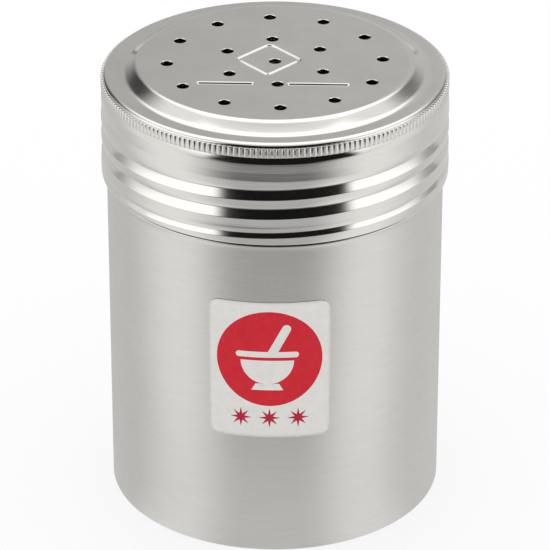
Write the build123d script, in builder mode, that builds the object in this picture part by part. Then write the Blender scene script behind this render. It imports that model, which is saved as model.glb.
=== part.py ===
from build123d import *
from math import cos, hypot, pi, radians, sin
import os

# Spice shaker: a drawn steel can with a rolled screw neck, and a stamped screw lid
# with a pierced, raised top. Millimetres, +Z up the can, origin at the centre of the
# foot, label facing -Y. The lid is screwed right down.

# Driving dimensions: sheet and can
sheet = 0.5
can_radius = 32.0
can_height = 84.1
foot_chamfer = 0.6
foot_ring_width = 2.4
base_recess = 1.2
base_slope_width = 1.5
shoulder_height = 0.5
mouth_fold_width = 1.2
mouth_fold_height = 2.0

# Driving dimensions: lid
skirt_length = 19.7
land_width = 4.7
step_width = 2.0
step_height = 2.1
lid_shoulder_chamfer = 0.5

# Driving dimensions: shaker holes
hole_diameter = 2.25
outer_ring_inset = 6.0
outer_ring_count = 12
ring_spacing = 10.2
inner_ring_count = 6
first_hole_angle = 94.6

# Driving dimensions: right-handed screw thread, rolled into both sheets
thread_pitch = 3.86
groove_depth = 0.8
groove_mouth = 2.9
groove_lift = 1.22
groove_start_angle = 180.0
lid_thread_length = 11.58
neck_thread_length = 4.83
neck_thread_lift = 4.97
thread_fade_turns = 0.15
path_points_per_turn = 18

# Driving dimensions: gasket and label
gasket_thickness = 1.0
label_width = 22.4
label_height = 28.6
label_bottom = 25.1
label_corner_radius = 2.0
label_thickness = 0.15

# Clearances
skirt_gap = 0.5
seat_gap = 0.15
gasket_side_gap = 0.3
crest_play = 0.15
root_play = 0.25
glue_gap = 0.05

# Heights up the assembly
gasket_bottom = can_height + seat_gap
gasket_top = gasket_bottom + gasket_thickness
land_underside = gasket_top + seat_gap
land_top = land_underside + sheet
lid_top = land_top + step_height
lid_bottom = land_top - skirt_length
groove_start_z = lid_bottom + groove_lift

# Lid radii; the step's inner face lies one sheet inside its outer face
skirt_inner_radius = can_radius + skirt_gap
lid_radius = skirt_inner_radius + sheet
step_foot = lid_radius - land_width
step_crown = step_foot - step_width
step_slope = step_width / step_height
step_inset = sheet * (hypot(1, step_slope) - step_slope)
outer_ring_radius = step_crown - outer_ring_inset
inner_ring_radius = outer_ring_radius - ring_spacing

# Thread radii: the groove's V raises a ridge inside the skirt, one sheet further in,
# and the neck's ridge runs midway between the turns of that ridge
flank_slope = groove_mouth / 2 / groove_depth
groove_floor_radius = lid_radius - groove_depth
lid_crest_radius = groove_floor_radius - sheet * hypot(1, flank_slope) / flank_slope
neck_crest_radius = skirt_inner_radius - crest_play
neck_root_radius = lid_crest_radius - root_play
neck_inner_radius = neck_root_radius - sheet
hidden_margin = 0.1


def ease(share):
    """Smooth ramp from 0 to 1."""
    share = max(0.0, min(1.0, share))
    return share * share * (3 - 2 * share)


def thread_path(radius, lift, length, end_shift, offset=0.0):
    """Right-hand helix that leaves its radius by end_shift at both of its ends.

    Its turns lie offset above those of the groove, at the same angles.
    """
    turns = length / thread_pitch
    count = round(turns * path_points_per_turn)
    points = []
    for i in range(count + 1):
        along = turns * i / count
        faded = 1 - ease(min(along, turns - along) / thread_fade_turns)
        reach = radius + end_shift * faded
        height = lift + thread_pitch * along
        angle = radians(groove_start_angle) + 2 * pi * height / thread_pitch
        z = groove_start_z + offset + height
        points.append((reach * cos(angle), reach * sin(angle), z))
    return Spline(*points, mode=Mode.PRIVATE)


def thread_plane(path):
    """Plane across the start of a thread: x outward along the radius, y up the can."""
    outward = Vector((path @ 0).X, (path @ 0).Y, 0).normalized()
    return Plane(origin=path @ 0, x_dir=outward, z_dir=outward.cross(Vector(0, 0, 1)))


# What the lid's sheet encloses, with the ridge of the rolled groove left standing in it
with BuildPart() as lid_hollow:
    with BuildSketch(Plane.XZ):
        with BuildLine():
            Polyline(
                (0, lid_bottom - sheet),
                (skirt_inner_radius, lid_bottom - sheet),
                (skirt_inner_radius, land_underside),
                (step_foot - step_inset, land_underside),
                (step_crown - step_inset, lid_top - sheet),
                (0, lid_top - sheet),
                close=True,
            )
        make_face()
    revolve(axis=Axis.Z)
    ridge_path = thread_path(
        lid_crest_radius, 0, lid_thread_length, lid_radius - lid_crest_radius
    )
    with BuildSketch(thread_plane(ridge_path)):
        with BuildLine():
            ridge_height = lid_radius - lid_crest_radius
            ridge_half = flank_slope * ridge_height
            Polyline(
                (0, 0), (ridge_height, ridge_half), (ridge_height, -ridge_half), close=True
            )
        make_face()
    sweep(path=ridge_path, is_frenet=True, mode=Mode.SUBTRACT)

# The lid: one stamped sheet with a flat rim, a raised pierced top and a rolled skirt
with BuildPart() as lid:
    with BuildSketch(Plane.XZ) as lid_outline:
        with BuildLine():
            Polyline(
                (0, lid_bottom),
                (lid_radius, lid_bottom),
                (lid_radius, land_top),
                (step_foot, land_top),
                (step_crown, lid_top),
                (0, lid_top),
                close=True,
            )
        make_face()
        shoulder = lid_outline.vertices().sort_by_distance((lid_radius, land_top))[0]
        chamfer(shoulder, lid_shoulder_chamfer)
    revolve(axis=Axis.Z)
    groove_path = thread_path(
        groove_floor_radius, 0, lid_thread_length, groove_depth + hidden_margin
    )
    with BuildSketch(thread_plane(groove_path)):
        with BuildLine():
            cut_depth = groove_depth + hidden_margin
            cut_half = flank_slope * cut_depth
            Polyline((0, 0), (cut_depth, cut_half), (cut_depth, -cut_half), close=True)
        make_face()
    sweep(path=groove_path, is_frenet=True, mode=Mode.SUBTRACT)
    add(lid_hollow.part, mode=Mode.SUBTRACT)
    with Locations((0, 0, lid_top)):
        Hole(hole_diameter / 2, depth=2 * sheet)
        with PolarLocations(outer_ring_radius, outer_ring_count, first_hole_angle):
            Hole(hole_diameter / 2, depth=2 * sheet)
        with PolarLocations(inner_ring_radius, inner_ring_count, first_hole_angle):
            Hole(hole_diameter / 2, depth=2 * sheet)

# The can: one drawn piece, base pressed up, mouth folded inward, thread raised on the neck
with BuildPart() as can_body:
    foot_inner = can_radius - foot_chamfer - foot_ring_width
    recess_radius = foot_inner - base_slope_width
    shoulder_bottom = lid_bottom - shoulder_height
    with BuildSketch(Plane.XZ) as can_outline:
        with BuildLine():
            Polyline(
                (0, base_recess),
                (recess_radius, base_recess),
                (foot_inner, 0),
                (can_radius, 0),
                (can_radius, shoulder_bottom),
                (neck_root_radius, lid_bottom),
                (neck_root_radius, can_height),
                (0, can_height),
                close=True,
            )
        make_face()
        foot_edge = can_outline.vertices().sort_by_distance((can_radius, 0))[0]
        chamfer(foot_edge, foot_chamfer)
    revolve(axis=Axis.Z)
    neck_path = thread_path(
        neck_crest_radius,
        neck_thread_lift,
        neck_thread_length,
        neck_root_radius - neck_crest_radius - hidden_margin,
        thread_pitch / 2,
    )
    with BuildSketch(thread_plane(neck_path)):
        with BuildLine():
            rise = neck_crest_radius - neck_root_radius + hidden_margin
            rise_half = flank_slope * rise
            Polyline((0, 0), (-rise, rise_half), (-rise, -rise_half), close=True)
        make_face()
    sweep(path=neck_path, is_frenet=True)
    with BuildSketch(Plane.XZ):
        with BuildLine():
            mouth_radius = neck_root_radius - mouth_fold_width
            fold_bottom = can_height - mouth_fold_height
            Polyline(
                (0, base_recess + sheet),
                (recess_radius, base_recess + sheet),
                (foot_inner, sheet),
                (can_radius - sheet, sheet),
                (can_radius - sheet, shoulder_bottom),
                (neck_inner_radius, lid_bottom),
                (neck_inner_radius, fold_bottom),
                (mouth_radius, fold_bottom),
                (mouth_radius, can_height),
                (0, can_height),
                close=True,
            )
        make_face()
    revolve(axis=Axis.Z, mode=Mode.SUBTRACT)

# The seal ring in the channel under the lid's flat rim
with BuildPart() as lid_gasket:
    with BuildSketch(Plane.XY.offset(gasket_bottom)):
        Circle(skirt_inner_radius - gasket_side_gap)
        Circle(step_foot - step_inset + gasket_side_gap, mode=Mode.SUBTRACT)
    extrude(amount=gasket_thickness)

# The sticker, wrapped on the can's front
with BuildPart() as label:
    with BuildSketch(Plane.XY.offset(label_bottom)):
        Circle(can_radius + glue_gap + label_thickness)
        Circle(can_radius + glue_gap, mode=Mode.SUBTRACT)
    extrude(amount=label_height)
    with BuildSketch(Plane.XZ):
        with Locations((0, label_bottom + label_height / 2)):
            RectangleRounded(label_width, label_height, label_corner_radius)
    extrude(amount=2 * can_radius, mode=Mode.INTERSECT)

os.makedirs("parts", exist_ok=True)
pieces = {"can_body": can_body, "lid": lid, "lid_gasket": lid_gasket, "label": label}
for name, piece in pieces.items():
    piece.part.label = name
    export_step(piece.part, f"parts/{name}.step")
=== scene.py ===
import math

import bpy
import numpy as np
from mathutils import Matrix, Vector, geometry


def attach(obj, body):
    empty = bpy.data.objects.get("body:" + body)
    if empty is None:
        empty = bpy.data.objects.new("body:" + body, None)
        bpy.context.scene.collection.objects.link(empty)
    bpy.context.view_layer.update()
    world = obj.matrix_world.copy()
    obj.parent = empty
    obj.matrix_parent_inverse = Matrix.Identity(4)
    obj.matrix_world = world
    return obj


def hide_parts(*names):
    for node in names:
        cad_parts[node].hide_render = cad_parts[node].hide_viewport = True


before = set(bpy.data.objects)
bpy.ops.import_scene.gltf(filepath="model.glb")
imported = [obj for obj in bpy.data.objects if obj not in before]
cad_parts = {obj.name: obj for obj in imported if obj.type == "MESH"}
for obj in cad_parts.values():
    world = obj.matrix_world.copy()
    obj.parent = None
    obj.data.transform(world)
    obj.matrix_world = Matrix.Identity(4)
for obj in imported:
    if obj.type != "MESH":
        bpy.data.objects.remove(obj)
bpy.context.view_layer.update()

MM = 0.001
FULL_TURN = 2.0 * math.pi

# All sizes of the pieces are in millimetres, in the frame of the CAD. A profile's points are
# (radius, height).

# ---- Sizes: the can ----------------------------------------------------------------------
SHEET = 0.5
CAN_COLUMNS = 256
CAN_RADIUS = 32.0
CAN_TOP = 84.1
CAN_WALL_ROW = 4.0
FOOT_ROUND = 0.35
FOOT_RING_WIDTH = 2.4
FOOT_RING_CORNER = (0.3, 0.12)
BASE_RECESS = 1.2
BASE_CORNER = (0.3, 0.1)
BASE_SLOPE_WIDTH = 1.5
BASE_MIDDLE = 4.0
CAN_SHOULDER = 65.54
# The bead over the shoulder, as steps out from the can's wall and up from the shoulder
BEAD = (
    (0.0, -0.85), (0.03, -0.7), (0.15, -0.36), (0.16, -0.22), (0.14, -0.08), (0.06, -0.02),
    (-0.2, 0.0),
)
NECK_START = 66.1
NECK_END = 83.2
NECK_ROW = 0.25
NECK_ROOT = 31.38
NECK_INNER = 30.88
NECK_RIDGE = 0.97
NECK_RIDGE_HALF = 1.45
NECK_RIDGE_TURNS = (1.288, 2.539)
MOUTH_INNER = 30.18
MOUTH_ROUND = 0.6
MOUTH_FOLD = 82.1

# ---- Sizes: the lid's top ----------------------------------------------------------------
LID_COLUMNS = 320
LID_TOP = 88.0
CROWN_EDGE = 25.15
CROWN_MARGIN = 0.3
STEP_CROWN_ROUND = 2.4
STEP_FOOT_ROUND = 3.3
STEP_STEEPEST = math.radians(33.5)
STEP_LOWER_SLOPE = math.radians(29.0)
LAND_HEIGHT = 86.27
LAND_ROWS = (30.9, 30.3)
LAND_EDGE = 31.28
RIM_TOP_ROUND = 1.7
RIM_SIDE_ROUND = 0.55
RIM_BREAK = math.radians(28.0)

# ---- Sizes: the lid's teeth, with a gutter over them and an undercut below ----------------
TOOTH_COUNT = 200
TOOTH_COLUMNS = 8
TOOTH_BOTTOM = 83.62
TOOTH_SLANT = 0.24
TOOTH_FOOT = 0.12
TOOTH_TOP = 85.6
TOOTH_TOP_ROUND = 0.14
TOOTH_VALLEY_SHARE = 0.04
TOOTH_FLANK_SHARE = 0.4
CREST_RADIUS = 32.8
VALLEY_HEIGHTS = (83.7, 84.5, 85.0, 85.46)
VALLEY_RADII = (32.72, 32.71, 32.665, 32.58)
GUTTER = (32.385, 85.5)
UNDERCUT = (32.42, 83.56)
FLARE_FOOT = (32.762, 82.45)
FLARE_POWER = 1.25

# ---- Sizes: the lid's wall and hem -------------------------------------------------------
BAND_TOP = 82.0
BAND_RADIUS = 32.78
WALL_HEIGHTS = (66.4, 66.6, 66.9, 68.9, 69.5, 70.1, 70.8, 79.0, 79.5, 80.6, 82.0)
WALL_RADII = (32.94, 32.975, 33.0, 33.0, 32.945, 32.918, 32.91, 32.90, 32.872, 32.82, 32.78)
HEM = (
    (32.52, 66.5), (32.53, 66.3), (32.58, 66.14), (32.65, 66.06),
    (32.74, 66.05), (32.82, 66.09), (32.885, 66.18), (32.92, 66.3), (32.94, 66.42),
)
# The sheet's inner side, from under the flat top down to the first row of the ridge
UNDERSIDE = (
    (25.0, 87.5), (25.6, 87.5), (26.1, 87.25), (27.9, 85.6), (28.2, 85.4),
    (31.75, 85.37), (32.05, 85.2), (32.23, 84.95), (32.24, 84.2), (32.1, 83.85),
    (32.08, 83.4), (32.3, 82.85), (32.48, 82.4),
)

# ---- Sizes: the screw thread, with heights across it taken from the groove's middle -------
THREAD_PITCH = 3.86
THREAD_FADE = 0.15
GROOVE_START_Z = 67.42
GROOVE_START_ANGLE = math.pi
GROOVE_TURNS = 3.0
GROOVE_OVERRUN = 0.18
GROOVE_RUN_OUT = 0.3
GROOVE_DEPTH = 0.78
GROOVE_LIP_LOW = -0.85
GROOVE_DEEPEST = 0.8
GROOVE_CORNER = (0.98, 0.52)
GROOVE_LIP_HIGH = 1.2
GROOVE_LIP_SAG = 0.27
GROOVE_LIP_ROUND = 2.35
GROOVE_LIP_ROW = 0.05
GROOVE_LOWER_POWER = 1.06
GROOVE_FIRST_WIDTH = 0.55
GROOVE_WIDENS_FROM = 0.55
GROOVE_WIDENS_OVER = 0.4
LEVELLING_ROWS = 24
CLIMBING_ROWS_LEFT_OUT = 3
SKIRT_INNER = 32.5
RIDGE_TOP = 82.1
RIDGE_BOTTOM = 66.8
RIDGE_ROW = 0.34
RIDGE_DEPTH = 0.85
RIDGE_HALF = 1.3
RIDGE_LIFT = 0.25
RIDGE_OVERRUN = 0.26

# ---- Sizes: the holes and the stamped strokes --------------------------------------------
HOLE_RADIUS = 1.125
HOLE_RIM = 0.14
HOLE_UNDER_RIM = 0.03
HOLE_COLUMNS = 32
HOLE_SUPPORT = HOLE_RADIUS + 0.32
OUTER_HOLES_RADIUS = 20.3
INNER_HOLES_RADIUS = 10.1
OUTER_HOLE_COUNT = 12
INNER_HOLE_COUNT = 6
FIRST_HOLE_ANGLE = math.radians(94.6)

STAMP_DEPTH = 0.36
STAMP_HALF_WIDTH = 0.72
# Where the rings across a stroke lie, from past its edge at 1 in towards its middle line at 0
STAMP_SHARES = (1.12, 1.0, 0.9, 0.8, 0.72, 0.66, 0.6, 0.54, 0.46, 0.34)
STAMP_LIP_DEPTH = 0.25
STAMP_LIP_WIDTH = 0.34
STAMP_FLANK_START = 0.72
STAMP_FLANK_WIDTH = 0.26
BARS = (((-13.7, -10.1), (-4.1, -10.1)), ((3.15, -10.1), (13.7, -10.1)))
RHOMBUS_CENTRE = (-1.2, 0.6)
RHOMBUS_HALF = (6.0, 6.9)
RHOMBUS_STROKE = 0.5
RHOMBUS_DEPTH = 0.25
RHOMBUS_CORNER = 0.8
FLAT_TOLERANCE = 1e-7

# ---- Sizes: the seal ring ----------------------------------------------------------------
GASKET_LOW = 84.25
GASKET_HIGH = 85.25
GASKET_INNER = 28.39
GASKET_OUTER = 32.2
GASKET_ROUND = 0.25

# ---- Sizes: the label --------------------------------------------------------------------
LABEL_LOW = 25.1
LABEL_HIGH = 53.7
LABEL_RADIUS = 32.2
LABEL_BACK_RADIUS = 32.05
LABEL_HALF_ARC = math.radians(41.05 / 2)
LABEL_CORNER = 2.0
LABEL_EDGE_STEP = 0.7
LABEL_MARGIN = 0.8
LABEL_COLUMN_STEP = 1.1
LABEL_ROW_STEP = 1.6
LABEL_TOLERANCE = 1e-5
LABEL_SLIVER = 2e-4  # twice the area of a triangle too thin to keep, in square millimetres
PAPER, RED, CRIMSON = 0, 1, 2

DISC_RADIUS = 10.0
DISC_CENTRE = 41.85
DISC_COLUMNS = 96
PICTOGRAM_SHIFT = -0.4
BOWL_RADIUS = 5.0
BOWL_DROP = 0.3
BRIM_HALF_WIDTH = 5.9
BRIM_LOW = 0.35
BRIM_HIGH = 1.55
BRIM_CORNER = 0.55
BOWL_FOOT = ((-3.0, -6.6), (3.0, -6.6), (2.2, -5.2), (-2.2, -5.2))
PESTLE = ((0.9, 1.2), (3.6, 6.4))
PESTLE_RADIUS = 0.85
STAR_PLACES = (-5.4, 0.0, 5.4)
STAR_HEIGHT = 29.3
STAR_POINTS = 8
STAR_OUTER = 2.1
STAR_INNER = 0.75

# ---- The studio: angles are in degrees and floor distances in metres ----------------------
# Each span runs from its first value to its second; its levels there follow, if it has any.
WHITE = (1.0, 1.0, 1.0, 1.0)
# HORIZON to FRONT_LEVEL are the levels of a painted reflection (walls, dome, back, lamp patch and a
# dark front) that only glossy rays see; all other rays see plain white.
HORIZON = (5.0, 13.0, 0.9, 1.35)
GREY_WALL_SPAN = (95.0, 119.0)
GREY_WALL_LEVEL = 0.42
CORNER_SPAN = (117.0, 140.0)
CORNER = (-0.3, 0.3, 0.06, 0.22)
DOME_SPAN = (30.0, 48.0)
DOME = (84.0, 97.0, 0.7, 0.95)
BACK_SIDE_SPAN = (144.0, 160.0)
BACK_OVER_SPAN = (120.0, 134.0)
BACK = (-0.1, 0.1, 0.49, 0.57)
PAINTED_LAMP_START = (97.0, 104.0)
PAINTED_LAMP_END = (136.0, 146.0, 1.0, 0.0)
PAINTED_LAMP_WIDTH = (0.34, 0.46, 1.0, 0.0)
PAINTED_LAMP_LEVEL = 1.4
FRONT_TURN = 7.0
FRONT_SIDE = (38.0, 47.0, 1.0, 0.0)
FRONT_SPREAD = (6.0, 16.0, 5.0, 0.0)
FRONT_TOP = (45.0, 63.0, 1.0, 0.0)
FRONT_LEVEL = 0.01

FLOOR_HALF = 3000.0
FLOOR_OWN_LIGHT = 0.75
# FLOOR_NEAR to FLOOR_BACK_SPAN shape the floor's painted reflection, which only glossy rays see:
# grey near the can in front, darker further out, brightest at the sides, softer behind.
FLOOR_NEAR = (0.045, 0.1, 0.64, 0.5)
FLOOR_MIDDLE = (0.15, 0.19, 0.0, 0.05)
FLOOR_FADE = (0.193, 0.235, 1.0, 0.33)
FLOOR_FAR = (0.22, 0.34, 1.0, 0.1)
FLOOR_BACK = (-0.05, 0.05, 0.64, 0.68)
FLOOR_FLANK = (0.05, 0.09, 0.87, 0.95)
FLOOR_FLANK_SPAN = (22.0, 68.0)
FLOOR_BACK_SPAN = (78.0, 128.0)

# ---- The camera --------------------------------------------------------------------------
CAMERA_AZIMUTH = math.radians(1.86)
CAMERA_ELEVATION = math.radians(27.92)
CAMERA_DISTANCE = 0.7294
CAMERA_PIVOT = (0.0, 0.0, 0.04292)
CAMERA_AIM = (0.0, 0.0, 0.04255)
CAMERA_SENSOR = 36.0
CAMERA_LENS = 246.96


# ---- Meshes ------------------------------------------------------------------------------
class Shell:
    """The vertices and faces of one mesh while it is put together, in millimetres."""

    def __init__(self):
        self.points = []
        self.faces = []
        self.finishes = []

    def add(self, points):
        """Adds vertices and returns their numbers."""
        start = len(self.points)
        self.points.extend(tuple(float(c) for c in p) for p in points)
        return list(range(start, len(self.points)))

    def face(self, corners, finish=0):
        self.faces.append(tuple(corners))
        self.finishes.append(finish)

    def skin(self, first, second):
        """Quads between two closed rings of as many points."""
        count = len(first)
        for i in range(count):
            j = (i + 1) % count
            self.face((first[i], first[j], second[j], second[i]))

    def chain(self, rings):
        """Skins each ring to the next. Returns the first and the last."""
        for below, above in zip(rings, rings[1:]):
            self.skin(below, above)
        return rings[0], rings[-1]

    def widen(self, coarse, fine):
        """Faces between a ring and the next one, whose count is a multiple of its own."""
        ratio = len(fine) // len(coarse)
        for i in range(len(coarse)):
            j = (i + 1) % len(coarse)
            run = [fine[(i * ratio + k) % len(fine)] for k in range(ratio, -1, -1)]
            self.face((coarse[i], coarse[j], *run))

    def narrow(self, fine, coarse):
        """Faces between a ring and the next one, of whose count its own is a multiple."""
        ratio = len(fine) // len(coarse)
        for i in range(len(coarse)):
            j = (i + 1) % len(coarse)
            run = [fine[(i * ratio + k) % len(fine)] for k in range(ratio + 1)]
            self.face((*run, coarse[j], coarse[i]))

    def build(self, name, materials):
        """The finished object, in metres."""
        mesh = bpy.data.meshes.new(name)
        mesh.from_pydata([(x * MM, y * MM, z * MM) for x, y, z in self.points], [], self.faces)
        mesh.polygons.foreach_set("material_index", self.finishes)
        mesh.polygons.foreach_set("use_smooth", [True] * len(self.faces))
        mesh.update()
        for material in materials:
            mesh.materials.append(material)
        piece = bpy.data.objects.new(name, mesh)
        bpy.context.scene.collection.objects.link(piece)
        return piece


def ease(share):
    """0 to 1 with a smooth start and end."""
    share = np.clip(share, 0.0, 1.0)
    return share * share * (3.0 - 2.0 * share)


def angles_of(columns):
    return np.arange(columns) * (FULL_TURN / columns)


def ring_points(radii, height, angles):
    """Points round the axis; the radius and the height may each be one for each angle."""
    radii = np.broadcast_to(radii, angles.shape)
    heights = np.broadcast_to(height, angles.shape)
    return np.stack([radii * np.cos(angles), radii * np.sin(angles), heights], axis=1)


def turn(shell, stations, columns, last=None):
    """Skins rings at the stations (radius, height), after the ring last if there is one."""
    angles = angles_of(columns)
    rings = [shell.add(ring_points(radius, height, angles)) for radius, height in stations]
    if last is not None:
        shell.skin(last, rings[0])
    return shell.chain(rings)


def arc(centre, radius, start, end, steps):
    """Stations along an arc about (radius, height), angles in degrees from outward."""
    turns = np.radians(np.linspace(start, end, steps + 1))
    return [(centre[0] + radius * math.cos(t), centre[1] + radius * math.sin(t)) for t in turns]


def rows(low, high, step):
    """Evenly spaced values from low to high, no further apart than step."""
    count = max(1, int(math.ceil(abs(high - low) / step)))
    return np.linspace(low, high, count + 1)


def circle(cx, cy, radius, count):
    return [(cx + radius * math.cos(t), cy + radius * math.sin(t)) for t in angles_of(count)]


def capsule(start, end, radius, side_steps=6, end_steps=8):
    """A closed outline round a line, counter-clockwise."""
    a, b = Vector(start), Vector(end)
    along = (b - a).normalized()
    heading = math.atan2(along.y, along.x)
    outline = []
    for centre, other, first in ((b, a, heading - math.pi / 2.0), (a, b, heading + math.pi / 2.0)):
        for i in range(end_steps + 1):
            t = first + math.pi * i / end_steps
            outline.append((centre.x + radius * math.cos(t), centre.y + radius * math.sin(t)))
        for i in range(1, side_steps):
            p = centre.lerp(other, i / side_steps)
            t = first + math.pi
            outline.append((p.x + radius * math.cos(t), p.y + radius * math.sin(t)))
    return outline


def inside(point, outline):
    """Whether a point lies inside a closed outline."""
    x, y = point
    odd = False
    for i in range(len(outline)):
        (x1, y1), (x2, y2) = outline[i], outline[i - 1]
        if (y1 > y) != (y2 > y) and x < (x2 - x1) * (y - y1) / (y2 - y1) + x1:
            odd = not odd
    return odd


# ---- The screw thread --------------------------------------------------------------------
def turn_share(angles):
    """How far round from the start of the thread each angle is, from 0 to 1."""
    return np.mod((angles - GROOVE_START_ANGLE) / FULL_TURN, 1.0)


def round_wave(angles, height, lift, turns, half):
    """0 to 1, a rounded ridge that climbs round the axis, for surfaces that the lid hides."""
    wave = np.zeros_like(angles)
    share = turn_share(angles)
    first_turn, last_turn = turns
    for k in range(int(math.ceil(last_turn)) + 1):
        turn_at = share + k
        offset = height - (GROOVE_START_Z + lift + THREAD_PITCH * turn_at)
        shape = np.where(np.abs(offset) < half, 0.5 + 0.5 * np.cos(math.pi * offset / half), 0.0)
        fade_in = ease((turn_at - first_turn) / THREAD_FADE)
        fade_out = ease((last_turn - turn_at) / THREAD_FADE)
        wave = np.maximum(wave, shape * (fade_in * fade_out))
    return wave


def neck_radius(angles, height):
    """The neck with its ridge, midway between the turns of the lid's groove."""
    wave = round_wave(angles, height, THREAD_PITCH / 2.0, NECK_RIDGE_TURNS, NECK_RIDGE_HALF)
    return NECK_ROOT + NECK_RIDGE * wave ** 2


def inner_skirt_radius(angles, height):
    """The skirt's inner side with the ridge that the groove raises there."""
    turns = (0.0, GROOVE_TURNS + RIDGE_OVERRUN)
    return SKIRT_INNER - RIDGE_DEPTH * round_wave(angles, height, RIDGE_LIFT, turns, RIDGE_HALF)


def groove_shape(offset):
    """0 at the groove's lips to 1 at its deepest line: a steep upper flank, a long lower one."""
    below = np.clip((GROOVE_DEEPEST - offset) / (GROOVE_DEEPEST - GROOVE_LIP_LOW), 0.0, 1.0)
    rounding = np.clip((GROOVE_LIP_ROUND - offset) / (GROOVE_LIP_ROUND - GROOVE_LIP_HIGH), 0.0, 1.0)
    places = (GROOVE_DEEPEST, GROOVE_CORNER[0], GROOVE_LIP_HIGH)
    flank = np.interp(offset, places, (1.0, GROOVE_CORNER[1], GROOVE_LIP_SAG))
    upper = np.where(offset > GROOVE_LIP_HIGH, GROOVE_LIP_SAG * rounding ** 2, flank)
    return np.where(offset > GROOVE_DEEPEST, upper, 1.0 - below ** GROOVE_LOWER_POWER)


def groove_strength(turn_at):
    """The groove's depth along its length, from 0 to 1: it fades in and runs out."""
    run_out = ease((GROOVE_TURNS + GROOVE_OVERRUN - turn_at) / GROOVE_RUN_OUT)
    return ease(turn_at / THREAD_FADE) * run_out


def groove_width(turn_at):
    """The groove starts narrow at the hem and is at its full width after its first turn."""
    widened = ease((turn_at - GROOVE_WIDENS_FROM) / GROOVE_WIDENS_OVER)
    return GROOVE_FIRST_WIDTH + (1.0 - GROOVE_FIRST_WIDTH) * widened


def groove_depth(angles, height):
    """How deep the groove is at each angle at a height, which may be one for each angle."""
    depth = np.zeros_like(angles)
    for k in range(int(GROOVE_TURNS) + 1):
        turn_at = turn_share(angles) + k
        width = groove_width(turn_at)
        offset = height - (GROOVE_START_Z + THREAD_PITCH * turn_at)
        offset = GROOVE_LIP_LOW + (offset - GROOVE_LIP_LOW) / width
        reach = GROOVE_DEPTH * width * groove_shape(offset) * groove_strength(turn_at)
        depth = np.maximum(depth, reach)
    return depth


# ---- The lid -----------------------------------------------------------------------------
def zip_up(shell, left, right):
    """Triangles between two upright runs of vertices that start and end at like heights."""
    i = j = 0
    while i < len(left) - 1 or j < len(right) - 1:
        climb_left = j == len(right) - 1 or (
            i < len(left) - 1 and shell.points[left[i + 1]][2] < shell.points[right[j + 1]][2]
        )
        if climb_left:
            shell.face((left[i], right[j], left[i + 1]))
            i += 1
        else:
            shell.face((left[i], right[j], right[j + 1]))
            j += 1


def groove_rows():
    """Heights within one pitch, close together at the groove's lips and its deepest line."""
    low, deep, high = GROOVE_LIP_LOW, GROOVE_DEEPEST, GROOVE_LIP_HIGH
    return np.concatenate([
        np.linspace(low - 0.08, low + 0.08, 3),
        np.linspace(low + 0.25, deep - 0.15, 6),
        np.linspace(deep - 0.06, deep + 0.06, 3),
        np.linspace(deep + 0.12, high - 0.12, 2),
        np.linspace(high - GROOVE_LIP_ROW, high + GROOVE_LIP_ROW, 3),
        np.linspace(high + 0.2, high + 1.2, 6),
    ])


def row_heights(pattern, lap, share):
    """A row's height in each column: it narrows with the groove and fills the land above it."""
    turn_at = lap + share
    width = groove_width(turn_at)
    base = GROOVE_START_Z + THREAD_PITCH * turn_at
    lip = GROOVE_LIP_HIGH + GROOVE_LIP_ROW
    low = GROOVE_LIP_LOW + (pattern - GROOVE_LIP_LOW) * width
    if pattern < lip or math.isclose(pattern, lip):
        return base + low
    lip_at = GROOVE_LIP_LOW + (lip - GROOVE_LIP_LOW) * width
    above = (pattern - lip) / (THREAD_PITCH + GROOVE_LIP_LOW - lip)
    return base + lip_at + above * (THREAD_PITCH + GROOVE_LIP_LOW - lip_at)


def grooved_wall(shell, below):
    """The wall from the ring below up to a level ring, in rows that climb with the groove."""
    share = angles_of(LID_COLUMNS) / FULL_TURN
    angles = GROOVE_START_ANGLE + angles_of(LID_COLUMNS)
    pattern = groove_rows()
    per_turn = len(pattern)
    last_lap = pattern[: per_turn - CLIMBING_ROWS_LEFT_OUT]
    heights = [row_heights(p, lap, share) for lap in (0, 1) for p in pattern]
    heights += [row_heights(p, 2, share) for p in last_lap]
    top_climbing = len(heights) - 1
    for rise in np.linspace(0.0, 1.0, LEVELLING_ROWS + 1)[1:]:
        heights.append(heights[top_climbing] * (1.0 - rise) + BAND_TOP * rise)
    rings = []
    for height in heights:
        radius = np.interp(height, WALL_HEIGHTS, WALL_RADII) - groove_depth(angles, height)
        rings.append(shell.add(ring_points(radius, height, angles)))
    below = [below[(i + LID_COLUMNS // 2) % LID_COLUMNS] for i in range(LID_COLUMNS)]
    for first, second in zip([below] + rings[:-1], rings):
        for i in range(LID_COLUMNS - 1):
            shell.face((first[i], first[i + 1], second[i + 1], second[i]))
    last = LID_COLUMNS - 1
    for row in range(top_climbing - per_turn):
        left, right = rings[row : row + 2], rings[row + per_turn : row + per_turn + 2]
        shell.face((left[0][last], right[0][0], right[1][0], left[1][last]))
    start = [below[0]] + [r[0] for r in rings[: per_turn + 1]]
    zip_up(shell, [below[last], rings[0][last]], start)
    end = [r[last] for r in rings[top_climbing - per_turn :]]
    zip_up(shell, end, [r[0] for r in rings[top_climbing:]])
    level = rings[-1]
    return [level[(i - LID_COLUMNS // 2) % LID_COLUMNS] for i in range(LID_COLUMNS)]


def tooth_radius(tooth, height):
    """The toothed band and the wall under it; tooth is 0 in a valley and 1 on a crest."""
    flare = (height - FLARE_FOOT[1]) / (UNDERCUT[1] - FLARE_FOOT[1])
    band = np.interp(height, (BAND_TOP, FLARE_FOOT[1]), (BAND_RADIUS, FLARE_FOOT[0]))
    root = band + (UNDERCUT[0] - FLARE_FOOT[0]) * np.clip(flare, 0.0, 1.0) ** FLARE_POWER
    valley = np.interp(height, VALLEY_HEIGHTS, VALLEY_RADII)
    foot = ease((height - TOOTH_BOTTOM - TOOTH_SLANT * (1.0 - tooth)) / TOOTH_FOOT)
    return root + (valley + (CREST_RADIUS - valley) * tooth - root) * foot


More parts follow.
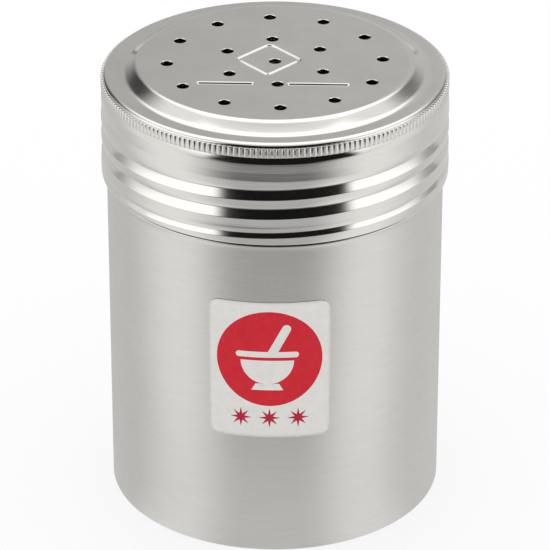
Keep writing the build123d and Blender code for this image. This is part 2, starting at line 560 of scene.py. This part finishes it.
def tooth_tops(tooth):
    """Stations over the teeth's rounded tops and down into the gutter."""
    end = VALLEY_RADII[-1] + (CREST_RADIUS - VALLEY_RADII[-1]) * tooth
    round_off = TOOTH_TOP_ROUND * tooth
    shoulder = TOOTH_TOP - TOOTH_TOP_ROUND
    stations = [
        (end - round_off * (1.0 - math.cos(t)), shoulder + round_off * math.sin(t))
        for t in np.radians([0.0, 30.0, 60.0, 90.0])
    ]
    stations.append((end - 0.24 * tooth, shoulder + 0.12 * tooth))
    stations.append((GUTTER[0] + 0.02, GUTTER[1] - 0.01))
    return stations


def lid_wall(shell):
    """The hem, the wall with its rolled groove and the band of teeth. Returns its end rings."""
    first, last = turn(shell, HEM, LID_COLUMNS)
    last = grooved_wall(shell, last)
    columns = TOOTH_COUNT * TOOTH_COLUMNS
    teeth = angles_of(columns)
    wave = 0.5 + 0.5 * np.cos(teeth * TOOTH_COUNT)
    tooth = ease((wave - TOOTH_VALLEY_SHARE) / TOOTH_FLANK_SHARE)
    slant_end = TOOTH_BOTTOM + TOOTH_SLANT
    heights = np.concatenate([
        rows(BAND_TOP + 0.1, UNDERCUT[1] - 0.06, 0.12),
        rows(UNDERCUT[1], slant_end + 0.15, 0.06),
        rows(slant_end + 0.35, TOOTH_TOP - 0.2, 0.2),
    ])
    stations = [(tooth_radius(tooth, height), height) for height in heights]
    lowest = shell.add(ring_points(*stations[0], teeth))
    shell.widen(last, lowest)
    _, last = turn(shell, stations[1:] + tooth_tops(tooth), columns, lowest)
    gutter = shell.add(ring_points(GUTTER[0], GUTTER[1], angles_of(LID_COLUMNS)))
    shell.narrow(last, gutter)
    return first, gutter


def step_stations():
    """The step from the land to the flat top: a round foot, a steepening wall, a round crown."""
    crown_drop = STEP_CROWN_ROUND * (1.0 - math.cos(STEP_STEEPEST))
    foot_drop = STEP_FOOT_ROUND * (1.0 - math.cos(STEP_LOWER_SLOPE))
    middle = (STEP_STEEPEST + STEP_LOWER_SLOPE) / 2.0
    wall = (LID_TOP - LAND_HEIGHT - crown_drop - foot_drop) / math.sin(middle)
    crown = (np.linspace(0.0, STEP_STEEPEST, 15), STEP_CROWN_ROUND * STEP_STEEPEST)
    flank = (np.linspace(STEP_STEEPEST, STEP_LOWER_SLOPE, 7), wall)
    foot = (np.linspace(STEP_LOWER_SLOPE, 0.0, 15), STEP_FOOT_ROUND * STEP_LOWER_SLOPE)
    radius, height = CROWN_EDGE, LID_TOP
    stations = [(radius - CROWN_MARGIN, height), (radius, height)]
    for slopes, length in (crown, flank, foot):
        step = length / (len(slopes) - 1)
        for slope in (slopes[1:] + slopes[:-1]) / 2.0:
            radius += step * math.cos(slope)
            height -= step * math.sin(slope)
            stations.append((radius, height))
    return stations[::-1]


def lid_top_edge(shell, last):
    """Rounded rim, land, step and crown, up to the flat top."""
    inward = RIM_TOP_ROUND - RIM_SIDE_ROUND
    top_centre = (LAND_EDGE, LAND_HEIGHT - RIM_TOP_ROUND)
    side_centre = (
        top_centre[0] + inward * math.sin(RIM_BREAK),
        top_centre[1] + inward * math.cos(RIM_BREAK),
    )
    break_at = math.degrees(math.pi / 2.0 - RIM_BREAK)
    stations = arc(side_centre, RIM_SIDE_ROUND, 0.0, break_at, 9)
    stations += arc(top_centre, RIM_TOP_ROUND, break_at, 90.0, 9)[1:]
    stations += [(radius, LAND_HEIGHT) for radius in LAND_ROWS]
    _, last = turn(shell, stations + step_stations(), LID_COLUMNS, last)
    return last


def hole_centres():
    """One hole in the middle and two rings of holes round it."""
    centres = [(0.0, 0.0)]
    rings = ((OUTER_HOLES_RADIUS, OUTER_HOLE_COUNT), (INNER_HOLES_RADIUS, INNER_HOLE_COUNT))
    for radius, count in rings:
        for i in range(count):
            angle = FIRST_HOLE_ANGLE + FULL_TURN * i / count
            centres.append((radius * math.cos(angle), radius * math.sin(angle)))
    return centres


def pierced_hole(shell, centre):
    """A hole through the sheet with a round rim. Returns its rings on top and underneath."""
    around = angles_of(HOLE_COLUMNS)
    rim_radius, rim_height = HOLE_RADIUS + HOLE_RIM, LID_TOP - HOLE_RIM
    stations = [(HOLE_SUPPORT, LID_TOP)]
    stations += [
        (rim_radius - HOLE_RIM * math.sin(t), rim_height + HOLE_RIM * math.cos(t))
        for t in np.linspace(0.0, math.pi / 2.0, 5)
    ]
    under = LID_TOP - SHEET
    stations += [(HOLE_RADIUS, under + HOLE_UNDER_RIM), (HOLE_RADIUS + HOLE_UNDER_RIM, under)]
    return shell.chain([
        shell.add(ring_points(radius, height, around) + np.array([*centre, 0.0]))
        for radius, height in stations
    ])


def stroke_height(share, depth):
    """The top's height across a stamped stroke: a soft lip and then a flank to a flat floor."""
    share = abs(share)
    lip = STAMP_LIP_DEPTH * float(ease((1.0 - share) / STAMP_LIP_WIDTH))
    flank = float(ease((STAMP_FLANK_START - share) / STAMP_FLANK_WIDTH))
    return LID_TOP - depth * (lip + (1.0 - STAMP_LIP_DEPTH) * flank)


def stamped_bar(shell, start, end):
    """A straight stroke pressed into the top. Returns its outer ring and that ring's outline."""
    outlines = [capsule(start, end, STAMP_HALF_WIDTH * share) for share in STAMP_SHARES]
    first, last = shell.chain([
        shell.add([(x, y, stroke_height(share, STAMP_DEPTH)) for x, y in outline])
        for share, outline in zip(STAMP_SHARES, outlines)
    ])
    shell.face(last)
    return first, outlines[0]


def rhombus(offset, side_steps=6, corner_steps=6):
    """A rhombus with round corners as a counter-clockwise outline, moved outward by offset."""
    half_x, half_y = RHOMBUS_HALF
    lean = math.atan2(half_x, half_y)
    radius = RHOMBUS_CORNER + offset
    inner_x = half_x - RHOMBUS_CORNER / math.cos(lean)
    inner_y = half_y - RHOMBUS_CORNER / math.sin(lean)
    corners = [(inner_x, 0.0), (0.0, inner_y), (-inner_x, 0.0), (0.0, -inner_y)]
    normals = [-lean, lean, math.pi - lean, math.pi + lean, FULL_TURN - lean]
    outline = []
    for i in range(4):
        x, y = corners[i]
        for t in np.linspace(normals[i], normals[i + 1], corner_steps + 1):
            outline.append((x + radius * math.cos(t), y + radius * math.sin(t)))
        next_x, next_y = corners[(i + 1) % 4]
        t = normals[i + 1]
        for step in range(1, side_steps):
            share = step / side_steps
            outline.append((
                x + (next_x - x) * share + radius * math.cos(t),
                y + (next_y - y) * share + radius * math.sin(t),
            ))
    return [(x + RHOMBUS_CENTRE[0], y + RHOMBUS_CENTRE[1]) for x, y in outline]


def stamped_rhombus(shell):
    """A stroke pressed round a rhombus. Returns its outer and its inner ring."""
    shares = [*STAMP_SHARES, 0.0, *(-share for share in reversed(STAMP_SHARES))]
    return shell.chain([
        shell.add([
            (x, y, stroke_height(share, RHOMBUS_DEPTH)) for x, y in rhombus(RHOMBUS_STROKE * share)
        ])
        for share in shares
    ])


def flat_with_openings(shell, outer_ring, loops, is_open, upward):
    """A flat face inside outer_ring, with the loops of vertices cut out of it."""
    ids = list(outer_ring)
    edges = [(i, (i + 1) % len(outer_ring)) for i in range(len(outer_ring))]
    for loop in loops:
        start = len(ids)
        ids.extend(loop)
        edges.extend((start + i, start + (i + 1) % len(loop)) for i in range(len(loop)))
    flat = [Vector(shell.points[i][:2]) for i in ids]
    _, _, triangles, sources, _, _ = geometry.delaunay_2d_cdt(
        flat, edges, [], 0, FLAT_TOLERANCE, True
    )
    for triangle in triangles:
        corners = [ids[sources[i][0]] for i in triangle]
        a, b, c = (Vector(shell.points[i][:2]) for i in corners)
        if is_open((a + b + c) / 3.0):
            continue
        if ((b - a).cross(c - a) > 0.0) != upward:
            corners.reverse()
        shell.face(corners)


def lid_plateau(shell, top_edge, under_edge):
    """The flat top with its pierced holes and stamped strokes, and its underside."""
    centres = hole_centres()
    hole_loops, under_loops = zip(*(pierced_hole(shell, centre) for centre in centres))
    bar_loops, bars = zip(*(stamped_bar(shell, start, end) for start, end in BARS))
    top_loops = [*hole_loops, *bar_loops, *stamped_rhombus(shell)]
    edge = RHOMBUS_STROKE * STAMP_SHARES[0]
    outer, inner = rhombus(edge), rhombus(-edge)

    def stamped(p):
        in_bar = any(inside(p, bar) for bar in bars)
        return in_bar or (inside(p, outer) and not inside(p, inner))

    def pierced(p, radius):
        near = [c for c in centres if (p - Vector(c)).length < radius]
        return any(inside(p, circle(*c, radius, HOLE_COLUMNS)) for c in near)

    def open_above(p):
        return stamped(p) or pierced(p, HOLE_SUPPORT)

    def open_below(p):
        return pierced(p, HOLE_RADIUS + HOLE_UNDER_RIM)

    flat_with_openings(shell, top_edge, top_loops, open_above, True)
    flat_with_openings(shell, under_edge, under_loops, open_below, False)


def make_lid(material):
    """The lid: one sheet, from its hem up over the top and down its inner side to the hem."""
    shell = Shell()
    angles = angles_of(LID_COLUMNS)
    hem_first, last = lid_wall(shell)
    top_edge = lid_top_edge(shell, last)
    under_edge, last = turn(shell, UNDERSIDE, LID_COLUMNS)
    heights = rows(RIDGE_TOP, RIDGE_BOTTOM, RIDGE_ROW)
    ridge = [(inner_skirt_radius(angles, height), height) for height in heights]
    _, last = turn(shell, ridge, LID_COLUMNS, last)
    shell.skin(last, hem_first)
    lid_plateau(shell, top_edge, under_edge)
    return shell.build("lid_shell", [material])


# ---- The can and the seal ring -----------------------------------------------------------
def base_stations():
    """The pressed-up base, the ring that the can stands on and the foot's round."""
    foot_outer = CAN_RADIUS - FOOT_ROUND
    foot_inner = foot_outer - FOOT_RING_WIDTH
    slope_inner = foot_inner - BASE_SLOPE_WIDTH
    stations = [(BASE_MIDDLE, BASE_RECESS), (slope_inner - 1.0, BASE_RECESS)]
    stations += [(slope_inner, BASE_RECESS)]
    stations += [(slope_inner + BASE_CORNER[0], BASE_RECESS - BASE_CORNER[1])]
    stations += [(foot_inner - FOOT_RING_CORNER[0], FOOT_RING_CORNER[1])]
    stations += [(foot_inner, 0.0), (foot_outer, 0.0)]
    stations += arc((foot_outer, FOOT_ROUND), FOOT_ROUND, -75.0, 0.0, 5)
    return stations + [(CAN_RADIUS, 0.8)]


def wall_stations():
    """The straight wall, the bead over its shoulder and the way in to the neck."""
    stations = [(CAN_RADIUS, z) for z in rows(2.0, CAN_SHOULDER - 1.5, CAN_WALL_ROW)]
    stations += [(CAN_RADIUS + out, CAN_SHOULDER + up) for out, up in BEAD]
    return stations + [(NECK_ROOT + 0.05, CAN_SHOULDER + 0.03), (NECK_ROOT, CAN_SHOULDER + 0.1)]


def inner_stations():
    """The mouth folded inward, then the can's inner side down to the middle of its base."""
    inner, floor = CAN_RADIUS - SHEET, BASE_RECESS + SHEET
    stations = arc((NECK_ROOT - MOUTH_ROUND, CAN_TOP - MOUTH_ROUND), MOUTH_ROUND, 0.0, 180.0, 10)
    stations += [(MOUTH_INNER, MOUTH_FOLD + 0.2), (MOUTH_INNER + 0.06, MOUTH_FOLD + 0.06)]
    stations += [(MOUTH_INNER + 0.2, MOUTH_FOLD), (NECK_INNER - 0.05, MOUTH_FOLD)]
    stations += [(NECK_INNER, MOUTH_FOLD - 0.1), (NECK_INNER, 66.5), (NECK_INNER + 0.3, 65.9)]
    stations += [(inner, 65.2), (inner, 30.0), (inner, 2.4), (inner - 0.4, floor)]
    return stations + [(20.0, floor), (BASE_MIDDLE, floor)]


def make_can(material):
    """The can: one drawn sheet, from the base's underside up the wall and down inside."""
    shell = Shell()
    angles = angles_of(CAN_COLUMNS)
    first, last = turn(shell, base_stations(), CAN_COLUMNS)
    centre = shell.add([(0.0, 0.0, BASE_RECESS)])[0]
    for i in range(CAN_COLUMNS):
        shell.face((first[(i + 1) % CAN_COLUMNS], first[i], centre))
    _, last = turn(shell, wall_stations(), CAN_COLUMNS, last)
    heights = rows(NECK_START, NECK_END, NECK_ROW)
    neck = [(neck_radius(angles, height), height) for height in heights]
    _, last = turn(shell, neck, CAN_COLUMNS, last)
    _, last = turn(shell, inner_stations(), CAN_COLUMNS, last)
    centre = shell.add([(0.0, 0.0, BASE_RECESS + SHEET)])[0]
    for i in range(CAN_COLUMNS):
        shell.face((last[i], last[(i + 1) % CAN_COLUMNS], centre))
    return shell.build("can_shell", [material])


def make_gasket(material):
    """The seal ring, with round edges."""
    shell = Shell()
    outer, inner = GASKET_OUTER - GASKET_ROUND, GASKET_INNER + GASKET_ROUND
    high, low = GASKET_HIGH - GASKET_ROUND, GASKET_LOW + GASKET_ROUND
    stations = []
    for i, centre in enumerate(((outer, high), (inner, high), (inner, low), (outer, low))):
        stations += arc(centre, GASKET_ROUND, 90.0 * i, 90.0 * (i + 1), 4)
    first, last = turn(shell, stations, CAN_COLUMNS)
    shell.skin(last, first)
    return shell.build("seal_ring", [material])


# ---- The label, laid out flat: x along the can's wall and the height up it ----------------
def rounded_rectangle(half_width, low, high, corner):
    right, left = half_width - corner, -half_width + corner
    top, bottom = high - corner, low + corner
    outline = []
    for i, (x, z) in enumerate(((right, top), (left, top), (left, bottom), (right, bottom))):
        for t in np.radians(np.linspace(90.0 * i, 90.0 * (i + 1), 9)):
            outline.append((x + corner * math.cos(t), z + corner * math.sin(t)))
    return outline


def divided(outline):
    """The outline with its long edges split, so that it follows the can when it is bent."""
    dense = []
    for i in range(len(outline)):
        a, b = Vector(outline[i]), Vector(outline[(i + 1) % len(outline)])
        parts = max(1, math.ceil((b - a).length / LABEL_EDGE_STEP))
        dense += [tuple(a.lerp(b, k / parts)) for k in range(parts)]
    return dense


def mortar_shapes(cx, cz):
    """A mortar and its pestle: the bowl, its brim, its foot and the pestle."""
    bowl = [
        (cx + BOWL_RADIUS * math.cos(t), cz - BOWL_DROP + BOWL_RADIUS * math.sin(t))
        for t in np.linspace(math.pi, FULL_TURN, 25)
    ]
    brim = rounded_rectangle(BRIM_HALF_WIDTH, cz + BRIM_LOW, cz + BRIM_HIGH, BRIM_CORNER)
    brim = [(x + cx, z) for x, z in brim]
    foot = [(cx + x, cz + z) for x, z in BOWL_FOOT]
    pestle = capsule(*((cx + x, cz + z) for x, z in PESTLE), PESTLE_RADIUS)
    return [bowl, brim, foot, pestle]


def star(cx, cz):
    outline = []
    for i in range(STAR_POINTS * 2):
        t = math.pi / 2.0 + math.pi * i / STAR_POINTS
        radius = STAR_OUTER if i % 2 == 0 else STAR_INNER
        outline.append((cx + radius * math.cos(t), cz + radius * math.sin(t)))
    return outline


def label_triangles(border, prints):
    """The flat label cut into small triangles along its border and the prints' outlines."""
    flat, edges = [], []
    for outline in [border, *prints]:
        start = len(flat)
        flat.extend(outline)
        edges.extend((start + i, start + (i + 1) % len(outline)) for i in range(len(outline)))
    half = LABEL_HALF_ARC * LABEL_RADIUS - LABEL_MARGIN
    for x in rows(-half, half, LABEL_COLUMN_STEP):
        for z in rows(LABEL_LOW + LABEL_MARGIN, LABEL_HIGH - LABEL_MARGIN, LABEL_ROW_STEP):
            if inside((x, z), border):
                flat.append((float(x), float(z)))
    spots, _, triangles, _, _, _ = geometry.delaunay_2d_cdt(
        [Vector(p) for p in flat], edges, [], 1, LABEL_TOLERANCE, True
    )
    kept = []
    for triangle in triangles:
        a, b, c = (spots[i] for i in triangle)
        double_area = (b - a).cross(c - a)
        if abs(double_area) >= LABEL_SLIVER:
            kept.append(list(triangle) if double_area > 0.0 else list(reversed(triangle)))
    return spots, kept


def bent(radius, point):
    """A point of the flat label on the can's front."""
    t = -math.pi / 2.0 + point[0] / LABEL_RADIUS
    return (radius * math.cos(t), radius * math.sin(t), point[1])


def make_label(materials):
    """The sticker: one thin sheet bent round the can, its printed fields faces of their own."""
    half = LABEL_HALF_ARC * LABEL_RADIUS
    border = divided(rounded_rectangle(half, LABEL_LOW, LABEL_HIGH, LABEL_CORNER))
    disc = circle(0.0, DISC_CENTRE, DISC_RADIUS, DISC_COLUMNS)
    pictogram = [divided(shape) for shape in mortar_shapes(PICTOGRAM_SHIFT, DISC_CENTRE)]
    stars = [divided(star(x, STAR_HEIGHT)) for x in STAR_PLACES]
    spots, triangles = label_triangles(border, [disc, *pictogram, *stars])

    def finish_at(point):
        if inside(point, disc):
            return PAPER if any(inside(point, shape) for shape in pictogram) else RED
        return CRIMSON if any(inside(point, shape) for shape in stars) else PAPER

    shell = Shell()
    front = shell.add([bent(LABEL_RADIUS, p) for p in spots])
    back = shell.add([bent(LABEL_BACK_RADIUS, p) for p in spots])
    sides = set()
    for corners in triangles:
        a, b, c = (spots[i] for i in corners)
        sides.update((corners[i - 1], corners[i]) for i in range(3))
        shell.face([front[i] for i in corners], finish_at((a + b + c) / 3.0))
        shell.face([back[i] for i in reversed(corners)])
    for a, b in sorted(sides):
        if (b, a) not in sides:
            shell.face((front[a], back[a], back[b], front[b]))
    return shell.build("label_sheet", materials)


# ---- Materials ---------------------------------------------------------------------------
# The colour sockets of a mix node, which its other sockets share their names with
MIX_FIRST_COLOUR = 6
MIX_SECOND_COLOUR = 7
MIX_COLOUR_RESULT = 2


class Nodes:
    """Short calls that add and link the nodes of a material or a world."""

    def __init__(self, owner):
        owner.use_nodes = True
        self.tree = owner.node_tree
        self.tree.nodes.clear()

    def add(self, kind, inputs=None, **settings):
        node = self.tree.nodes.new(kind)
        for key, value in settings.items():
            setattr(node, key, value)
        for key, value in (inputs or {}).items():
            self.put(node, key, value)
        return node

    def put(self, node, key, value):
        """Links a socket to an input, or sets the input to a constant."""
        socket = node.inputs[key]
        if isinstance(value, bpy.types.NodeSocket):
            self.tree.links.new(value, socket)
        else:
            socket.default_value = value

    def math(self, operation, first, second=0.0):
        return self.add("ShaderNodeMath", {0: first, 1: second}, operation=operation).outputs[0]

    def times(self, first, second):
        return self.math("MULTIPLY", first, second)

    def span(self, value, low, high, out_low=0.0, out_high=1.0):
        """A smooth ramp from out_low at low to out_high at high."""
        levels = {"To Min": out_low, "To Max": out_high}
        return self.add(
            "ShaderNodeMapRange",
            {"Value": value, "From Min": low, "From Max": high, **levels},
            interpolation_type="SMOOTHSTEP",
        ).outputs["Result"]

    def lerp(self, share, first, second):
        """first where share is 0, second where it is 1; either may be a socket."""
        change = self.math("SUBTRACT", second, first)
        return self.math("ADD", first, self.times(share, change))

    def noise(self, scale, detail, roughness, stretch=(1.0, 1.0, 1.0)):
        """Noise over the piece, its scale counted in metres after the stretch."""
        where = self.add("ShaderNodeTexCoord").outputs["Object"]
        place = self.add("ShaderNodeMapping", {"Vector": where, "Scale": stretch})
        return self.add("ShaderNodeTexNoise", {
            "Vector": place.outputs["Vector"],
            "Scale": scale,
            "Detail": detail,
            "Roughness": roughness,
        }).outputs["Fac"]

    def blend(self, share, first, second):
        """A colour between two."""
        node = self.add("ShaderNodeMix", data_type="RGBA")
        self.put(node, "Factor", share)
        self.put(node, MIX_FIRST_COLOUR, first)
        self.put(node, MIX_SECOND_COLOUR, second)
        return node.outputs[MIX_COLOUR_RESULT]

    def relief(self, height, strength, depth):
        settings = {"Strength": strength, "Distance": depth, "Height": height}
        return self.add("ShaderNodeBump", settings).outputs["Normal"]

    def choose(self, share, first, second):
        """The shader first where share is 0, second where it is 1."""
        node = self.add("ShaderNodeMixShader")
        self.put(node, "Fac", share)
        self.put(node, 1, first)
        self.put(node, 2, second)
        return node.outputs[0]


def surface(name, describe):
    """A material whose one shader has the inputs that describe(nodes) returns."""
    material = bpy.data.materials.new(name)
    n = Nodes(material)
    shader = n.add("ShaderNodeBsdfPrincipled", describe(n))
    out = n.add("ShaderNodeOutputMaterial")
    n.put(out, "Surface", shader.outputs["BSDF"])
    return material


def steel(name, colour, dull_colour, roughness, streak_depth, streak_scale):
    """Stainless sheet: fine marks round the axis from turning, and a slightly cloudy sheen."""

    def describe(n):
        streaks = n.noise(1.0, 4.0, 0.6, stretch=(150.0, 150.0, streak_scale))
        cloud = n.noise(90.0, 3.0, 0.5)
        grain = n.noise(2600.0, 2.0, 0.6)
        tone = n.math("ADD", n.times(streaks, 0.5), n.times(cloud, 0.5))
        sheen = n.span(cloud, 0.3, 0.7, roughness - 0.03, roughness + 0.03)
        rough = n.math("ADD", sheen, n.span(grain, 0.3, 0.7, -0.006, 0.006))
        height = n.math("ADD", n.times(streaks, 0.8), n.times(grain, 0.2))
        normal = n.relief(height, 1.0, streak_depth)
        return {
            "Base Color": n.blend(n.span(tone, 0.35, 0.65), dull_colour, colour),
            "Metallic": 1.0,
            "Roughness": rough,
            "Normal": normal,
        }

    return surface(name, describe)


def printed(name, colour, shade, roughness, gloss=0.5):
    """Coated paper: faint mottling of the ink or the stock, with a soft gloss."""

    def describe(n):
        mottle = n.noise(700.0, 4.0, 0.6)
        fibre = n.noise(3500.0, 2.0, 0.5)
        normal = n.relief(fibre, 0.5, 0.00002)
        return {
            "Base Color": n.blend(n.span(mottle, 0.3, 0.7), shade, colour),
            "Roughness": n.span(fibre, 0.3, 0.7, roughness - 0.04, roughness + 0.04),
            "Specular IOR Level": gloss,
            "Normal": normal,
        }

    return surface(name, describe)


def rubber(name, colour, shade):
    """Pale rubber with a speckled, uneven surface."""

    def describe(n):
        speck = n.noise(1800.0, 3.0, 0.6)
        cloud = n.noise(120.0, 2.0, 0.5)
        normal = n.relief(speck, 0.6, 0.00004)
        return {
            "Base Color": n.blend(cloud, shade, colour),
            "Roughness": n.span(speck, 0.3, 0.7, 0.5, 0.68),
            "Normal": normal,
        }

    return surface(name, describe)


# ---- The studio --------------------------------------------------------------------------
def facing(n, x, y, turned=0.0):
    """The angle away from the front in degrees, or from a direction turned to its right."""
    angle = n.times(n.math("ARCTAN2", x, n.times(y, -1.0)), 180.0 / math.pi)
    return n.math("ABSOLUTE", n.math("SUBTRACT", angle, turned))


def painted_reflection_level(n):
    """A painted reflection for metal, seen by glossy rays only: bright sides and ceiling, a painted
    lamp, a dark front and a grey back.

    side is the angle away from the front, rise the height over the horizon, and over the
    angle from the front up over the top.
    """
    direction = n.add("ShaderNodeTexCoord").outputs["Generated"]
    parts = n.add("ShaderNodeSeparateXYZ", {"Vector": direction})
    x, y, z = (parts.outputs[i] for i in range(3))
    side = facing(n, x, y)
    rise = n.times(n.math("ARCSINE", z), 180.0 / math.pi)
    over = n.times(n.math("ARCTAN2", z, n.times(y, -1.0)), 180.0 / math.pi)
    walls = n.lerp(n.span(side, *GREY_WALL_SPAN), n.span(rise, *HORIZON), GREY_WALL_LEVEL)
    walls = n.lerp(n.span(side, *CORNER_SPAN), walls, n.span(x, *CORNER))
    level = n.lerp(n.span(rise, *DOME_SPAN), walls, n.span(over, *DOME))
    back = n.times(n.span(side, *BACK_SIDE_SPAN), n.span(over, *BACK_OVER_SPAN))
    level = n.lerp(back, level, n.span(x, *BACK))
    # A painted lamp: a bright patch that only reflections show, with no lamp behind it.
    painted_lamp = n.times(n.span(over, *PAINTED_LAMP_START), n.span(over, *PAINTED_LAMP_END))
    painted_lamp = n.times(painted_lamp, n.span(n.math("ABSOLUTE", x), *PAINTED_LAMP_WIDTH))
    level = n.lerp(painted_lamp, level, PAINTED_LAMP_LEVEL)
    # A painted dark front: a near-black region that only reflections show.
    spread = n.span(rise, *FRONT_SPREAD)
    across = n.math("SUBTRACT", facing(n, x, y, FRONT_TURN), spread)
    front = n.times(n.span(across, *FRONT_SIDE), n.span(rise, *FRONT_TOP))
    return n.lerp(front, level, FRONT_LEVEL)


def studio_world():
    """Plain even light for all rays, except glossy rays, which see a painted reflection pattern."""
    world = bpy.data.worlds.new("studio")
    bpy.context.scene.world = world
    n = Nodes(world)
    level = painted_reflection_level(n)
    path = n.add("ShaderNodeLightPath")
    # glossy carries the painted reflection pattern, shown only to glossy rays.
    glossy = n.add("ShaderNodeBackground", {"Color": WHITE, "Strength": level})
    plain = n.add("ShaderNodeBackground", {"Color": WHITE, "Strength": 1.0})
    shown = n.choose(path.outputs["Is Glossy Ray"], plain.outputs[0], glossy.outputs[0])
    out = n.add("ShaderNodeOutputWorld")
    n.put(out, "Surface", shown)
    world.cycles.sampling_method = "NONE"


def floor_painted_reflection(n):
    """The floor's painted reflection, seen by glossy rays only: grey in front, brightest at the
    sides, softer behind.
    """
    where = n.add("ShaderNodeTexCoord").outputs["Object"]
    parts = n.add("ShaderNodeSeparateXYZ", {"Vector": where})
    x, y = parts.outputs[0], parts.outputs[1]
    reach = n.math("SQRT", n.math("ADD", n.times(x, x), n.times(y, y)))
    closeness = n.math("DIVIDE", CAN_RADIUS * MM, n.math("MAXIMUM", reach, CAN_RADIUS * MM))
    side = n.times(facing(n, x, y), n.math("ADD", closeness, 1.0))
    front = n.math("ADD", n.span(reach, *FLOOR_NEAR), n.span(reach, *FLOOR_MIDDLE))
    front = n.times(front, n.span(reach, *FLOOR_FADE))
    front = n.times(front, n.span(reach, *FLOOR_FAR))
    level = n.lerp(n.span(side, *FLOOR_FLANK_SPAN), front, n.span(reach, *FLOOR_FLANK))
    return n.lerp(n.span(side, *FLOOR_BACK_SPAN), level, n.span(x, *FLOOR_BACK))


def floor_material():
    """White paper that keeps the shadow, with some light of its own, a painted reflection for
    glossy rays, and clear from below.
    """
    material = bpy.data.materials.new("pale_floor")
    n = Nodes(material)
    painted_reflection = n.add("ShaderNodeEmission", {"Color": WHITE, "Strength": floor_painted_reflection(n)})
    path = n.add("ShaderNodeLightPath")
    paper = n.add("ShaderNodeBsdfDiffuse", {"Color": WHITE})
    white = n.add("ShaderNodeEmission", {"Color": WHITE, "Strength": 1.0})
    lit = n.choose(FLOOR_OWN_LIGHT, paper.outputs[0], white.outputs[0])
    straight = n.math("MAXIMUM", path.outputs["Is Camera Ray"], path.outputs["Is Transmission Ray"])
    above = n.choose(straight, paper.outputs[0], lit)
    # Glossy rays see the painted reflection pattern instead of the paper.
    above = n.choose(path.outputs["Is Glossy Ray"], above, painted_reflection.outputs[0])
    clear = n.add("ShaderNodeBsdfTransparent")
    below = n.add("ShaderNodeNewGeometry").outputs["Backfacing"]
    out = n.add("ShaderNodeOutputMaterial")
    n.put(out, "Surface", n.choose(below, above, clear.outputs[0]))
    return material


def make_floor():
    shell = Shell()
    corners = ((-1, -1), (1, -1), (1, 1), (-1, 1))
    shell.face(shell.add([(x * FLOOR_HALF, y * FLOOR_HALF, 0.0) for x, y in corners]))
    shell.build("floor", [floor_material()])


def make_camera():
    data = bpy.data.cameras.new("camera")
    camera = bpy.data.objects.new("camera", data)
    bpy.context.scene.collection.objects.link(camera)
    bpy.context.scene.camera = camera
    back = Vector((
        math.sin(CAMERA_AZIMUTH) * math.cos(CAMERA_ELEVATION),
        -math.cos(CAMERA_AZIMUTH) * math.cos(CAMERA_ELEVATION),
        math.sin(CAMERA_ELEVATION),
    ))
    camera.location = Vector(CAMERA_PIVOT) + back * CAMERA_DISTANCE
    camera.rotation_mode = "QUATERNION"
    heading = Vector(CAMERA_AIM) - camera.location
    camera.rotation_quaternion = heading.to_track_quat("-Z", "Y")
    data.sensor_width = CAMERA_SENSOR
    data.lens = CAMERA_LENS
    data.clip_start = 0.01
    data.clip_end = 20.0


def dress(piece, body, node):
    """Puts a piece on its body in place of a CAD node."""
    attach(piece, body)
    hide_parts(node)


# ---- The scene ---------------------------------------------------------------------------
lid_steel = steel(
    "lid_steel", (0.80, 0.78, 0.745, 1.0), (0.76, 0.74, 0.705, 1.0),
    roughness=0.12, streak_depth=0.000006, streak_scale=4000.0,
)
can_steel = steel(
    "can_steel", (0.80, 0.785, 0.755, 1.0), (0.76, 0.745, 0.715, 1.0),
    roughness=0.3, streak_depth=0.000004, streak_scale=1600.0,
)
paper = printed("label_paper", (0.72, 0.713, 0.686, 1.0), (0.68, 0.673, 0.65, 1.0), 0.42)
red_ink = printed("red_ink", (0.60, 0.018, 0.032, 1.0), (0.55, 0.015, 0.027, 1.0), 0.36, 0.2)
crimson_ink = printed("crimson_ink", (0.45, 0.015, 0.04, 1.0), (0.40, 0.012, 0.035, 1.0), 0.38, 0.2)
seal_rubber = rubber("seal_rubber", (0.66, 0.65, 0.62, 1.0), (0.55, 0.54, 0.51, 1.0))

make_camera()
studio_world()
make_floor()
dress(make_can(can_steel), "can", "can_body")
dress(make_lid(lid_steel), "lid", "lid")
dress(make_gasket(seal_rubber), "gasket", "lid_gasket")
dress(make_label([paper, red_ink, crimson_ink]), "can", "label")

bpy.context.scene.view_settings.view_transform = "Standard"
